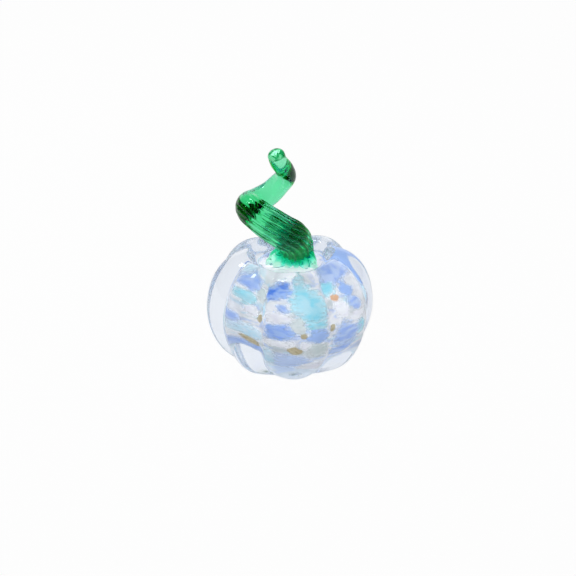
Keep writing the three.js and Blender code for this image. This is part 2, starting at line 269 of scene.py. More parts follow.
pale_side = towards(DIM_SIDE).rising(*PALE_EDGES).blend(TENT_WHITE, TENT_PALE)
dark_side = towards(DIM_SIDE).rising(*DARK_EDGES).blend(TENT_WHITE, TENT_DARK)
mirrored_dimness = towards(CAMERA_SIDE).rising(*MIRROR_EDGES) * mirrored_rays(tent)
shown_tent = mirrored_dimness.blend(stem_rays(tent).blend(pale_side, dark_side), TENT_DARK)
tent_colour = lighting_rays(tent).blend(shown_tent, TENT_INSIDE)
seen_tent = tent.node("ShaderNodeBackground", {}, {"Color": tent_colour})
fill_light = tent.node("ShaderNodeBackground", {}, {"Color": TENT_WHITE, "Strength": FILL_LEVEL})
tent_shader = tent.node("ShaderNodeMixShader", {}, {0: seen_rays(tent), 1: fill_light, 2: seen_tent})
tent.node("ShaderNodeOutputWorld", {}, {"Surface": tent_shader})
print("tent fill level:", FILL_LEVEL)

# %% The soft lamp
LAMP_WIDTH = 0.26
LAMP_DEPTH = 0.18
LAMP_PLACE = Vector((-0.3, 0.3, 0.8))
LAMP_BRIGHTNESS = 10.0

lamp_data = bpy.data.lights.new("soft_lamp", "AREA")
lamp_data.shape = "RECTANGLE"
lamp_data.size = LAMP_WIDTH
lamp_data.size_y = LAMP_DEPTH
lamp_data.energy = LAMP_BRIGHTNESS * math.pi * LAMP_WIDTH * LAMP_DEPTH
lamp = bpy.data.objects.new("soft_lamp", lamp_data)
lamp.location = LAMP_PLACE
lamp.rotation_euler = (BODY_MIDDLE - LAMP_PLACE).to_track_quat("-Z", "Y").to_euler()
lamp.visible_camera = False
lamp.visible_transmission = False
scene.collection.objects.link(lamp)
print("lamp power in watts:", round(lamp_data.energy, 2))

# %% How far light is followed through glass
GLASS_BOUNCES = 24
BRIGHTEST_SAMPLE = 4.0
for limit in ("max", "diffuse", "transmission", "glossy", "transparent_max"):
    setattr(scene.cycles, limit + "_bounces", GLASS_BOUNCES)
scene.cycles.sample_clamp_indirect = BRIGHTEST_SAMPLE
scene.cycles.use_denoising = True
print("bounces in glass:", GLASS_BOUNCES)

# %% [markdown]
# ## Floor
# A white tabletop. Most of its white is its own glow for rays that see it, so that it stays even behind
# the glass, and the rest is a plain matt surface, which keeps a faint shadow under the pumpkin.

# %% A white tabletop
FLOOR_SIDE = 60.0
FLOOR_DROP = 0.05 * MM
FLOOR_GLOW = 0.96
MIRROR_LOSS = 0.9
FLOOR_MATT = colour(247, 248, 250)
FLOOR_GRAIN = 6.0


def add_object(name, points, faces, finish):
    mesh = bpy.data.meshes.new(name)
    mesh.from_pydata(np.asarray(points).reshape(-1, 3).tolist(), [], faces)
    mesh.materials.append(finish)
    mesh.shade_smooth()
    made = bpy.data.objects.new(name, mesh)
    scene.collection.objects.link(made)
    return made


def make_floor_finish():
    material, paint = start_finish("white_tabletop")
    matt_colour = grain(paint, FLOOR_GRAIN).blend(FLOOR_MATT, TENT_WHITE)
    matt = paint.node("ShaderNodeBsdfDiffuse", {}, {"Color": matt_colour})
    glow = paint.node("ShaderNodeEmission", {}, {"Color": TENT_WHITE})
    share = seen_rays(paint) * FLOOR_GLOW * (1 - mirrored_rays(paint) * MIRROR_LOSS)
    end_finish(paint, paint.node("ShaderNodeMixShader", {}, {0: share, 1: matt, 2: glow}))
    material.cycles.emission_sampling = "NONE"
    return material


half = FLOOR_SIDE / 2
sides = ((-half, -half), (half, -half), (half, half), (-half, half))
floor_corners = [(across, along, -FLOOR_DROP) for across, along in sides]
floor = add_object("tabletop", floor_corners, [(0, 1, 2, 3)], make_floor_finish())
print("tabletop side in m:", FLOOR_SIDE)

# %% [markdown]
# ## The clear casing
# The outer gather of clear glass is pressed in a mould with eight ribs, and the hot glass slips a little, so
# the grooves lie up to six degrees from their even places. The outline is two quarter ellipses, a dimple
# and a flat base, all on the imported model's sizes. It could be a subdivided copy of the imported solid, but
# that rounds the creases between the lobes, so the skin is computed afresh from the same outline, row by
# row, with the mould's ribs pressed in along the normals.

# %% Sizes of the casing
_, casing_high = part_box("clear_casing")
BODY_RADIUS = 40 * MM
EQUATOR_HEIGHT = 28.5 * MM
SHOULDER_RADIUS = 21.5 * MM
BASE_RADIUS = 18.5 * MM
SEAT_RADIUS = 13.6 * MM
DIMPLE_DEPTH = 4 * MM
GROOVE_DEPTH = 3.6 * MM
GROOVE_FADE = 14 * MM
CROWN_FADE = 16 * MM
GROOVE_SOFTNESS = 0.07
BASE_SHARES = np.array([0.3, 0.6, 0.85, 0.96])
FLANK_ROWS = 48
DIMPLE_ROWS = 24
SEAT_ROWS = 28
LOBES = 8
LOBE_TURN = math.radians(4)
GROOVE_SHIFTS = np.radians([2.7, 5.5, 3, 0, 0, 2, 6, -1.9])
shoulder_height = casing_high.z
seat_height = shoulder_height - DIMPLE_DEPTH
print("casing height in mm:", round(shoulder_height / MM, 2))


# %% The outline of a lobe's crest
def quarter_ellipse(middle_out, up, start, end):
    angle = np.linspace(start, end, FLANK_ROWS)
    across = BODY_RADIUS - middle_out
    return np.stack([middle_out + across * np.cos(angle), EQUATOR_HEIGHT + up * np.sin(angle)], axis=1)


def dimple_curve():
    middle = (SHOULDER_RADIUS + SEAT_RADIUS) / 2
    corners = np.array([
        (SHOULDER_RADIUS, shoulder_height),
        (middle, shoulder_height),
        (middle, seat_height),
        (SEAT_RADIUS, seat_height),
    ])
    share = np.linspace(0, 1, DIMPLE_ROWS)[:, None]
    weights = ((1 - share) ** 3, 3 * share * (1 - share) ** 2, 3 * share ** 2 * (1 - share), share ** 3)
    return sum(weight * corner for weight, corner in zip(weights, corners))


def flat_rows(radii, height):
    return np.stack([radii, np.full(len(radii), height)], axis=1)


def crest_outline():
    base = flat_rows(BASE_RADIUS * BASE_SHARES, 0.0)
    flank = quarter_ellipse(BASE_RADIUS, EQUATOR_HEIGHT, -math.pi / 2, 0)
    shoulder = quarter_ellipse(SHOULDER_RADIUS, shoulder_height - EQUATOR_HEIGHT, 0, math.pi / 2)
    seat = flat_rows(np.linspace(SEAT_RADIUS, 0, SEAT_ROWS, endpoint=False)[1:], seat_height)
    return np.concatenate([base, flank, shoulder[1:], dimple_curve()[1:], seat])


crest = crest_outline()
print("rows in the casing's outline:", len(crest))


# %% Skin for any stack of rings
def skin(rings, first_pole, last_pole, inside_out=False):
    """Points and faces of a closed skin over rings, which turn counter-clockwise seen from the last pole."""
    rows, columns = rings.shape[:2]
    points = np.concatenate([rings.reshape(-1, 3), [first_pole, last_pole]])
    first, last = rows * columns, rows * columns + 1
    faces = []
    for side in range(columns):
        after = (side + 1) % columns
        faces.append((first, after, side))
        for row in range(rows - 1):
            low = row * columns
            high = low + columns
            faces.append((low + side, low + after, high + after, high + side))
        top = (rows - 1) * columns
        faces.append((last, top + side, top + after))
    if inside_out:
        faces = [face[::-1] for face in faces]
    return points, faces


def round_turn(count):
    """Even steps round a circle."""
    return np.linspace(0, 2 * math.pi, count, endpoint=False)


def half_turns(angle):
    """The same angles, from half a turn back to half a turn ahead."""
    return (angle + math.pi) % (2 * math.pi) - math.pi


def unit(vectors):
    """The same directions, one unit long."""
    return vectors / np.linalg.norm(vectors, axis=-1, keepdims=True)


def smoothstep(value, low, high):
    share = np.clip((value - low) / (high - low), 0, 1)
    return share * share * (3 - 2 * share)


def waviness(points, size):
    """A slow wave from -1 to 1, as hand-worked glass has, that repeats about every size metres."""
    return np.array([noise.noise(Vector(point) / size) for point in points])


def turned_rings(out, up, azimuth):
    """Rings of points at each row's distance out and height, with azimuth 0 at the front."""
    height = np.broadcast_to(up, out.shape)
    return np.stack([out * np.sin(azimuth), -out * np.cos(azimuth), height], axis=-1)


print("skin ready")

# %% The lobed skin
CASING_COLUMNS = 384
WAVE_HEIGHT = 0.16 * MM
WAVE_SIZE = 14 * MM


def groove_share(outline):
    out, up = outline[:, 0], outline[:, 1]
    below = smoothstep(out, BASE_RADIUS, BASE_RADIUS + GROOVE_FADE)
    above = smoothstep(out, SEAT_RADIUS, SHOULDER_RADIUS + CROWN_FADE)
    return np.where(up < EQUATOR_HEIGHT, below, above)


def casing_rings(outline):
    turn = round_turn(CASING_COLUMNS)
    share = groove_share(outline)[:, None]
    groove_turns = (np.arange(LOBES) + 0.5) * 2 * math.pi / LOBES
    shift = np.interp(turn, groove_turns, GROOVE_SHIFTS, period=2 * math.pi)
    azimuth = turn + LOBE_TURN + share * shift
    crease = 1 - np.sqrt(np.cos(turn * LOBES / 2) ** 2 + GROOVE_SOFTNESS ** 2)
    along = unit(np.gradient(outline, axis=0))
    flat = turned_rings(outline[:, :1] * np.ones(CASING_COLUMNS), outline[:, 1:], azimuth)
    wave = waviness(flat.reshape(-1, 3), WAVE_SIZE).reshape(azimuth.shape) * WAVE_HEIGHT
    depth = share * (GROOVE_DEPTH * crease + wave)
    out = outline[:, :1] - depth * along[:, 1:]
    up = outline[:, 1:] + depth * along[:, :1]
    return turned_rings(out, up, azimuth)


casing_points, casing_faces = skin(casing_rings(crest), (0, 0, 0), (0, 0, seat_height))
print("points on the casing:", len(casing_points))

# %% [markdown]
# The bubble that was blown first leaves a hollow in the middle. Glass has no edge where two gathers have
# fused, so the hollow's wall is the only other surface that bends light. It belongs to the same mesh,
# with its faces turned inwards, so that Blender sees one wall of glass with air inside.

# %% The hollow in the middle
core_low, core_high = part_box("core_bubble")
CORE_RADIUS = 27.2 * MM
CORE_WALL = 2.6 * MM
CROWN_WALL = 2.5 * MM
DRIFT_FADE = 12.5 * MM
PLUG_DEPTH = 3 * MM
core_drift = (core_low.x + core_high.x) / 2
drift_end = seat_height - 2 * PLUG_DEPTH
core_top = seat_height - CROWN_WALL
core_middle = (core_low.z + core_top) / 2
core_half = (core_top - core_low.z) / 2
OVAL_COLUMNS = 128
OVAL_ROWS = 64


def drift(height):
    """How far the core lies to the right of the axis at a height. Its neck is centred."""
    return core_drift * (1 - smoothstep(height, drift_end - DRIFT_FADE, drift_end))


def drifted(points):
    moved = np.array(points, dtype=float)
    moved[..., 0] += drift(moved[..., 2])
    return moved


def oval_skin(depth, inside_out=False):
    """A skin in the shape of the core, this deep below its surface."""
    radius, half_height = CORE_RADIUS - depth, core_half - depth
    latitude = np.linspace(-math.pi / 2, math.pi / 2, OVAL_ROWS + 2)[1:-1, None]
    azimuth = round_turn(OVAL_COLUMNS)
    out = radius * np.cos(latitude) * np.ones(OVAL_COLUMNS)
    rings = turned_rings(out, core_middle + half_height * np.sin(latitude), azimuth)
    poles = [(0, 0, core_middle - half_height), (0, 0, core_middle + half_height)]
    return skin(drifted(rings), *drifted(poles), inside_out)


hollow_points, hollow_faces = oval_skin(CORE_WALL, inside_out=True)
print("the core lies to the right by mm:", round(core_drift / MM, 2))

# %% Clear glass
GLASS_IOR = 1.5
GLASS_ROUGHNESS = 0.03
RIPPLE_STRENGTH = 0.05
RIPPLE_DEPTH = 0.2 * MM
CLEAR_TONES = (colour(243, 247, 252), colour(249, 251, 255))
CLEAR_STREAKS = 90.0
CLEAR_RIPPLE = 160.0
CLEAR_TINT = (0.8, 0.85, 0.92, 1.0)
CLEAR_TINT_DENSITY = 9.0


def absorption(paint, tint, density):
    return paint.node("ShaderNodeVolumeAbsorption", {}, {"Color": tint, "Density": density})


def see_through(paint, streaks, ripple, tones, gloss):
    """Glass that bends light, with streaks in its tone, a faint ripple, and no surface where it is fused."""
    bump = {"Strength": RIPPLE_STRENGTH, "Distance": RIPPLE_DEPTH, "Height": ripple}
    return paint.node("ShaderNodeBsdfPrincipled", {}, {
        "Base Color": streaks.blend(*tones),
        "Roughness": streaks * GLASS_ROUGHNESS,
        "IOR": GLASS_IOR,
        "Specular Tint": gloss,
        "Transmission Weight": 1.0,
        "Alpha": 1 - point_mark(paint, "fused"),
        "Normal": paint.node("ShaderNodeBump", {}, bump),
    })


def make_clear_glass():
    material, paint = start_finish("clear_glass")
    ripple = grain(paint, CLEAR_RIPPLE, detail=1.0)
    glass = see_through(paint, grain(paint, CLEAR_STREAKS), ripple, CLEAR_TONES, TENT_WHITE)
    end_finish(paint, glass, absorption(paint, CLEAR_TINT, CLEAR_TINT_DENSITY))
    return material


hollow_start = len(casing_points)
glass_points = np.concatenate([casing_points, hollow_points])
glass_faces = casing_faces + [tuple(corner + hollow_start for corner in face) for face in hollow_faces]
casing = add_object("lobed_casing", glass_points, glass_faces, make_clear_glass())
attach(casing, "root")
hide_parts("clear_casing")
print("faces in the casing:", len(glass_faces))

# %% [markdown]
# ## The milky veil on the core
# The finest grains of colour melt into a veil: pale lilac, with clouds of sky blue, periwinkle and
# grey-green. A photo texture would need a picture, and hundreds of grains would be slow, so it is one thin
# skin inside the glass, just under the chips. Each cloud is a noise of its own, drawn out sideways and laid
# over the last one. At the neck the veil is painted whiter and given a painted glow: painted light against
# the shade and green cast that the stem's foot throws there. At the base a fainter painted glow stands in
# for light from the table. Under glass a colour looks deeper than it is, as a pebble does in water, because
# the glass sends part of the light back in. So each tone is written as it should look, and a small formula
# makes the paler paint.

# %% Colours under glass
KEPT_INSIDE = 0.6
LIGHT_INSIDE = 1.3


def under_glass(red, green, blue):
    """The paint that looks like this screen colour under glass, which sends some light back in."""
    looks = np.array(colour(red, green, blue)[:3])
    paint = looks / ((1 - KEPT_INSIDE) * LIGHT_INSIDE + KEPT_INSIDE * looks)
    return (*paint, 1.0)


print("sky blue under glass:", np.round(under_glass(190, 224, 246)[:3], 2))

# %% Veil
VEIL_DEPTH = 0.5 * MM
VEIL_TONE = under_glass(240, 241, 250)
VEIL_CLOUDS = (
    {"tone": under_glass(186, 226, 248), "scale": 90.0, "shift": 0.0, "amount": 0.9},
    {"tone": under_glass(200, 212, 210), "scale": 110.0, "shift": 3.0, "amount": 0.9},
    {"tone": under_glass(160, 184, 246), "scale": 120.0, "shift": 7.0, "amount": 0.7},
    {"tone": under_glass(254, 254, 255), "scale": 140.0, "shift": 11.0, "amount": 0.9},
)
CLOUD_EDGES = (0.52, 0.6)
CLOUD_STRETCH = (1.0, 1.0, 2.4)
CLOUD_DISTORTION = 0.6
# Painted light: the neck's whiter tone and glow make up for the stem's shade, and the base glow stands in for
# light from the table.
NECK_PAINTED_WHITE = under_glass(254, 254, 255)
NECK_PAINTED_GLOW = (0.5, 0.46, 0.54, 1.0)
BASE_PAINTED_GLOW = (0.18, 0.23, 0.29, 1.0)
NECK_EDGES = (0.72, 0.92)
BASE_EDGES = (-0.95, -0.5)
VEIL_GRAIN = {"scale": 110.0, "shift": 17.0}
THICK_EDGES = (0.35, 0.6)
THIN_ALPHA = 0.75
MATT_ROUGHNESS = 0.5
ROUGHNESS_SPREAD = 0.2
NO_GLOW = (0.0, 0.0, 0.0, 1.0)


def stretched(place):
    """Places for a pattern that is drawn out sideways, as the bubble drew out the colour."""
    return place.vector_maths("MULTIPLY", CLOUD_STRETCH)


def cloud(paint, place, scale, shift):
    """Soft patches from 0 to 1. shift moves them, so that two clouds of one scale differ."""
    moved = place.vector_maths("ADD", (shift, shift, shift))
    return grain(paint, scale, moved, distortion=CLOUD_DISTORTION)


def make_veil_finish():
    material, paint = start_finish("core_veil")
    place = object_place(paint)
    flattened = stretched(place)
    tone = VEIL_TONE
    for one in VEIL_CLOUDS:
        patch = cloud(paint, flattened, one["scale"], one["shift"]).rising(*CLOUD_EDGES)
        tone = (patch * one["amount"]).blend(tone, one["tone"])
    height = paint.node("ShaderNodeSeparateXYZ", {}, {"Vector": place}, output="Z")
    # Painted light at the neck and at the base of the veil.
    painted_neck_light = height.rising(*(core_middle + core_half * edge for edge in NECK_EDGES))
    painted_base_light = 1 - height.rising(*(core_middle + core_half * edge for edge in BASE_EDGES))
    thickness = cloud(paint, place, **VEIL_GRAIN)
    veil = paint.node("ShaderNodeBsdfPrincipled", {}, {
        "Base Color": painted_neck_light.blend(tone, NECK_PAINTED_WHITE),
        "Roughness": MATT_ROUGHNESS + thickness * ROUGHNESS_SPREAD,
        "IOR": GLASS_IOR,
        "Specular IOR Level": 0.0,
        "Alpha": THIN_ALPHA + thickness.rising(*THICK_EDGES) * (1 - THIN_ALPHA),
        "Emission Color": painted_neck_light.blend(painted_base_light.blend(NO_GLOW, BASE_PAINTED_GLOW), NECK_PAINTED_GLOW),
        "Emission Strength": 1.0,
    })
    end_finish(paint, veil)
    return material


veil_points, veil_faces = oval_skin(VEIL_DEPTH)
veil = add_object("core_veil", veil_points, veil_faces, make_veil_finish())
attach(veil, "root")
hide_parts("core_bubble")
print("veil faces:", len(veil_faces))

# %% [markdown]
# ## Chips of coloured glass
# Each chip is a crumb of glass that melted flat and stretched as the bubble grew: a thin lens with a wavy
# edge that thins out to nothing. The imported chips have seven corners. A closed curve through the corners,
# roughened and spread a little, gives each chip its own outline, and a small stagger in depth lets a chip
# lap over its neighbour.

# %% The outline of a packed chip, on the core
TOP_TOLERANCE = 0.001


def to_angles(points):
    """Azimuth and latitude on the core of points on its surface."""
    azimuth = np.arctan2(points[:, 0], -points[:, 1])
    height = np.clip((points[:, 2] - core_middle) / core_half, -1, 1)
    return np.stack([azimuth, np.arcsin(height)], axis=1)


def on_core(angles, rise):
    """Points of the core at these angles, lifted along the core's normal."""
    azimuth, latitude = angles[..., 0], angles[..., 1]
    outward = np.stack([
        np.cos(latitude) * np.sin(azimuth),
        -np.cos(latitude) * np.cos(azimuth),
        np.sin(latitude),
    ], axis=-1)
    size = np.array([CORE_RADIUS, CORE_RADIUS, core_half])
    lift = unit(outward / size) * np.expand_dims(rise, -1)
    return drifted(outward * size + np.array([0, 0, core_middle]) + lift)


def chip_corners(node):
    """The middle of a packed chip, as angles on the core, and its corners around that, in turn."""
    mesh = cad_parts[node].data
    points = np.unique(np.round([tuple(vertex.co) for vertex in mesh.vertices], 7), axis=0)
    points[:, 0] -= drift(points[:, 2])
    from_middle = (points - np.array([0, 0, core_middle])) / (CORE_RADIUS, CORE_RADIUS, core_half)
    on_top = np.abs(np.linalg.norm(from_middle, axis=1) - 1) < TOP_TOLERANCE
    angles = to_angles(points[on_top])
    start = angles[0, 0]
    angles[:, 0] = half_turns(angles[:, 0] - start) + start
    spread = np.linalg.norm(angles[:, None] - angles[None], axis=2).sum(axis=1)
    middle = angles[spread.argmin()]
    around = np.delete(angles, spread.argmin(), axis=0) - middle
    way = np.round(np.arctan2(around[:, 1], around[:, 0]), 2)
    corners = []
    for one in np.unique(way):
        spoke = around[way == one]
        corners.append(spoke[np.linalg.norm(spoke, axis=1).argmax()])
    return middle, np.array(corners)


_, largest_corners = chip_corners("turquoise_chip_1")
print("corners of the largest chip:", len(largest_corners))

# %% One chip as a thin lens
CHIP_SPOKES = 56
CHIP_RINGS = (0.25, 0.5, 0.7, 0.85, 0.95)
CHIP_CROWN = 0.2 * MM
CHIP_EDGE_DEPTH = 0.2 * MM
CHIP_BACK = 0.35 * MM
CHIP_SPREAD = (1.85, 1.85)
FLECK_SPREAD = (1.25, 1.25)
OWN_SPREADS = {
    "deep_blue_chip_5": (2.4, 2.4),
    "periwinkle_chip_6": (2.8, 2.4),
    "sky_chip_4": (2.3, 2.0),
    "copper_fleck_4": (0.9, 2.4),
}
CHIP_STAGGER = 0.07 * MM
CHIP_LAYERS = 5
EDGE_ROUGHNESS = 0.16
EDGE_BUMPS = 1.6
EDGE_STEP = 1.37


def closed_curve(corners, count):
    """A smooth closed curve through corners, as a sum of waves."""
    waves = np.fft.fft(corners[:, 0] + 1j * corners[:, 1]) / len(corners)
    steps = np.fft.fftfreq(len(corners), 1 / len(corners))
    turn = round_turn(count)
    curve = sum(wave * np.exp(1j * step * turn) for wave, step in zip(waves, steps))
    return np.stack([curve.real, curve.imag], axis=1)


def rough_edge(serial):
    turn = round_turn(CHIP_SPOKES)
    places = np.stack([EDGE_BUMPS * np.cos(turn), EDGE_BUMPS * np.sin(turn), np.full(CHIP_SPOKES, serial)], 1)
    return 1 + EDGE_ROUGHNESS * waviness(places * EDGE_STEP, 1.0)[:, None]


def mark_points(made, name, values):
    """Keeps a number with each point of a mesh, or one number with all, for its material to read."""
    marks = made.data.attributes.new(name, "FLOAT", "POINT")
    marks.data.foreach_set("value", np.full(len(made.data.vertices), values, dtype=np.float32))


def nodes_named(start):
    return sorted(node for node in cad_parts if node.startswith(start))


def make_lens(name, node, serial, finish, spread):
    middle, corners = chip_corners(node)
    edge = closed_curve(corners, CHIP_SPOKES) * rough_edge(serial) * OWN_SPREADS.get(node, spread)
    lift = CHIP_STAGGER * (serial % CHIP_LAYERS)
    shares = (*CHIP_RINGS, 1.0, *CHIP_RINGS[::-1])
    rings = []
    for place, share in enumerate(shares):
        fullness = 1 - share ** 2
        thickness = -CHIP_BACK if place < len(CHIP_RINGS) else CHIP_CROWN
        rise = thickness * fullness - CHIP_EDGE_DEPTH * share ** 2 + lift
        rings.append(on_core(middle + edge * share, rise))
    back, front = on_core(np.stack([middle, middle]), np.array([-CHIP_BACK, CHIP_CROWN]) + lift)
    lens = add_object(name, *skin(np.array(rings), back, front), finish)
    mark_points(lens, "rim", np.append(np.repeat(shares, CHIP_SPOKES), [0.0, 0.0]))
    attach(lens, "root")
    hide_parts(node)
    return lens


print("rings in a chip:", 2 * len(CHIP_RINGS) + 1)

# %% [markdown]
# The chips are the same glass in six colours. Melted glass keeps streaks of the colours that it was drawn
# from, so each finish runs between two tones along stretched noise, and a few chips that were stretched
# thinner are paler all over. The edge fades through alpha, feathered by a finer noise, because a thin rim of
# coloured glass lets the clear glass show. Rays that gather light pass the chips, which scatter it rather
# than shade the veil behind them.

# %% Coloured glass
CHIP_TONES = {
    "deep_blue": (under_glass(56, 100, 220), under_glass(134, 166, 240)),
    "periwinkle": (under_glass(122, 152, 234), under_glass(168, 192, 246)),
    "turquoise": (under_glass(112, 200, 228), under_glass(160, 220, 238)),
    "sky": (under_glass(160, 214, 244), under_glass(200, 230, 250)),
    "white": (under_glass(226, 224, 238), under_glass(246, 246, 250)),
    "sage": (under_glass(180, 196, 194), under_glass(208, 218, 216)),
}
THIN_CHIPS = {
    "deep_blue_chip_2": 0.6,
    "deep_blue_chip_3": 0.9,
    "deep_blue_chip_4": 0.8,
    "deep_blue_chip_5": 0.8,
    "periwinkle_chip_2": 0.9,
}
CHIP_STREAKS = {"scale": 150.0, "detail": 4.0, "distortion": 1.2}
STREAK_EDGES = (0.35, 0.65)
CHIP_FEATHER = 420.0
FEATHER_REACH = 1.1
CHIP_FADE = (0.95, 1.55)
PALE_RIM = (0.4, 0.9)
CHIP_ROUGHNESS = 0.3


def torn_edge(paint, ragged, fade):
    """Alpha of a chip: its ragged rim fades out, and rays that gather light pass it."""
    return (1 - (point_mark(paint, "rim") + ragged).rising(*fade)) * (1 - lighting_rays(paint))


def make_chip_glass(name, deep, pale):
    material, paint = start_finish(name)
    place = stretched(object_place(paint))
    streaks = grain(paint, place=place, **CHIP_STREAKS)
    feather = grain(paint, CHIP_FEATHER, place)
    paleness = streaks.rising(*STREAK_EDGES) + point_mark(paint, "thinness")
    toned = paleness.at_most(1.0).blend(deep, pale)
    glass = paint.node("ShaderNodeBsdfPrincipled", {}, {
        "Base Color": point_mark(paint, "rim").rising(*PALE_RIM).blend(toned, pale),
        "Roughness": CHIP_ROUGHNESS + streaks * CHIP_ROUGHNESS,
        "IOR": GLASS_IOR,
        "Specular IOR Level": 0.0,
        "Alpha": torn_edge(paint, feather * FEATHER_REACH, CHIP_FADE),
    })
    end_finish(paint, glass)
    return material


chip_count = 0
for kind, (deep, pale) in CHIP_TONES.items():
    finish = make_chip_glass(kind + "_glass", deep, pale)
    for node in nodes_named(kind + "_chip_"):
        chip_count += 1
        chip = make_lens(node.replace("_chip_", "_frit_"), node, chip_count, finish, CHIP_SPREAD)
        mark_points(chip, "thinness", THIN_CHIPS.get(node, 0.0))
        kind + "_glass"
print("coloured chips:", chip_count)

# %% [markdown]
# ## Copper flecks
# Crumbs of copper leaf went in with the frit. They are ragged metal: most burnt to a dull bronze, and one
# stayed bright orange. A number kept with each crumb's points tells the finish which it is, and the metal
# sparkles cell by cell.

# %% Copper
BRIGHT_FLECKS = ("copper_fleck_5",)
BRIGHT_TONES = (under_glass(222, 140, 98), under_glass(240, 182, 140))
DULL_TONES = (under_glass(140, 122, 80), under_glass(206, 192, 152))
CRUMB_SCALE = 1400.0
GRIME_SCALE = 500.0
GRIME_REACH = 0.5
BURNT_EDGES = (0.3, 0.7)
METAL_SHARE = 0.4
METAL_ROUGHNESS = 0.45
METAL_SPREAD = 0.3
CRUMB_REACH = 0.35
FLECK_FADE = (0.95, 1.25)


def make_copper():
    material, paint = start_finish("copper_leaf")
    place = object_place(paint)
    crumbs = paint.node(
        "ShaderNodeTexVoronoi", {}, {"Vector": place, "Scale": CRUMB_SCALE}, output="Color"
    )
    sparkle = paint.node("ShaderNodeSeparateColor", {}, {"Color": crumbs}, output="Red")
    grime = grain(paint, GRIME_SCALE, place) * GRIME_REACH - GRIME_REACH / 2
    burnt = (point_mark(paint, "burnt") + grime).rising(*BURNT_EDGES)
    metal = paint.node("ShaderNodeBsdfPrincipled", {}, {
        "Base Color": burnt.blend(sparkle.blend(*BRIGHT_TONES), sparkle.blend(*DULL_TONES)),
        "Metallic": sparkle * METAL_SHARE,
        "Roughness": METAL_ROUGHNESS + sparkle * METAL_SPREAD,
        "Alpha": torn_edge(paint, sparkle * CRUMB_REACH, FLECK_FADE),
    })
    end_finish(paint, metal)
    return material


copper = make_copper()
flecks = nodes_named("copper_fleck_")
for serial, node in enumerate(flecks, chip_count + 1):
    fleck = make_lens(node.replace("_fleck_", "_leaf_"), node, serial, copper, FLECK_SPREAD)
    mark_points(fleck, "burnt", node not in BRIGHT_FLECKS)
print("copper flecks:", len(flecks))

# %% [markdown]
# ## The green stem
# A rod of green glass is ribbed in a star mould, trailed onto the crown, twisted and wound into one and a
# half turns while it is soft. A curve with a bevel would give a plain tube, but here the ribs turn with
# the twist and fade out, the rod thins, and its foot spreads into a scalloped skirt, so the rings are
# laid along the route one by one.

# %% The route of the stem
STEM_REACH = 19.2 * MM
STEM_DEPTH = 9.5 * MM
STEM_RISE = 55.6 * MM
STEM_ROUTE = [
    (0.14, -0.06, 0.13),
    (0.12, -0.22, 0.19),
    (0.03, -0.45, 0.255),
    (-0.19, -0.74, 0.325),
    (-0.45, -1, 0.408),
    (-0.71, -0.92, 0.47),
    (-0.92, -0.54, 0.505),
    (-0.97, 0, 0.51),
    (-0.79, 0.52, 0.513),
    (-0.5, 0.84, 0.558),
    (-0.27, 0.79, 0.643),
    (-0.11, 0.37, 0.74),
    (-0.15, -0.1, 0.84),
    (-0.28, -0.48, 0.932),
    (-0.328, -0.63, 0.99),
]
STEM_STEPS = 240
STEPS_PER_STRETCH = 60


def stretch_curve(before, start, end, after):
    """The points from start to end of a curve that bends evenly through all four."""
    gaps = [math.sqrt(np.linalg.norm(b - a)) for a, b in ((before, start), (start, end), (end, after))]
    leave = (start - before) / gaps[0] - (end - before) / (gaps[0] + gaps[1]) + (end - start) / gaps[1]
    arrive = (end - start) / gaps[1] - (after - start) / (gaps[1] + gaps[2]) + (after - end) / gaps[2]
    leave *= gaps[1]
    arrive *= gaps[1]
    t = np.linspace(0, 1, STEPS_PER_STRETCH, endpoint=False)[:, None]
    slope = -3 * start + 3 * end - 2 * leave - arrive
    curl = 2 * start - 2 * end + leave + arrive
    return start + leave * t + slope * t ** 2 + curl * t ** 3


def even_route(points, steps):
    """A smooth curve through points, cut into even steps."""
    ends = [2 * points[0] - points[1], *points, 2 * points[-1] - points[-2]]
    stretches = [stretch_curve(*ends[place:place + 4]) for place in range(len(points) - 1)]
    fine = np.concatenate([*stretches, [points[-1]]])
    run = np.append(0, np.cumsum(np.linalg.norm(np.diff(fine, axis=0), axis=1)))
    wanted = np.linspace(0, run[-1], steps + 1)
    return np.stack([np.interp(wanted, run, fine[:, axis]) for axis in range(3)], axis=1), run[-1]


stem_size = np.array([STEM_REACH, STEM_DEPTH, STEM_RISE])
stem_seat = np.array([0, 0, seat_height])
stem_line, stem_length = even_route(np.array(STEM_ROUTE) * stem_size + stem_seat, STEM_STEPS)
print("stem length in mm:", round(stem_length / MM, 1))


# %% Frames along the stem
def frames_along(line):
    """Tangents, and two directions across the line that turn as little as they can."""
    tangents = unit(np.gradient(line, axis=0))
    across = np.cross(tangents[0], (1.0, 0.0, 0.0))
    normals = []
    for tangent in tangents:
        across = unit(across - tangent * np.dot(across, tangent))
        normals.append(across)
    normals = np.array(normals)
    return tangents, normals, np.cross(tangents, normals)


tangents, normals, binormals = frames_along(stem_line)
stem_frames = list(zip(stem_line, normals, binormals))
print("frames along the stem:", len(stem_frames))

# %% The ribbed rod
STEM_DIAMETER = 15.6 * MM
TIP_DIAMETER = 7.6 * MM
TAPER = (0.08, 1.1)
STEM_RIBS = 16
RIB_HEIGHT = 0.8 * MM
RIB_FADE = (0.25, 0.5)
RIB_TWIST = math.radians(-30)
STEM_COLUMNS = 192
TIP_ROWS = 8
TIP_ROUND = 1.9 * MM
TIP_DOME = 0.1 * MM
TIP_RINGS = (0.75, 0.5, 0.25)

turn = round_turn(STEM_COLUMNS)
rib_wave = 2 * np.abs(np.cos(turn * STEM_RIBS / 2)) - 1


def stem_radius(share):
    return (STEM_DIAMETER + (TIP_DIAMETER - STEM_DIAMETER) * smoothstep(share, *TAPER)) / 2


def ring_at(centre, normal, binormal, radius, twist):
    """A ring of points around centre. radius is a number, or one number for each point."""
    angle = turn + twist
    spread = np.outer(np.cos(angle) * radius, normal) + np.outer(np.sin(angle) * radius, binormal)
    return centre + spread


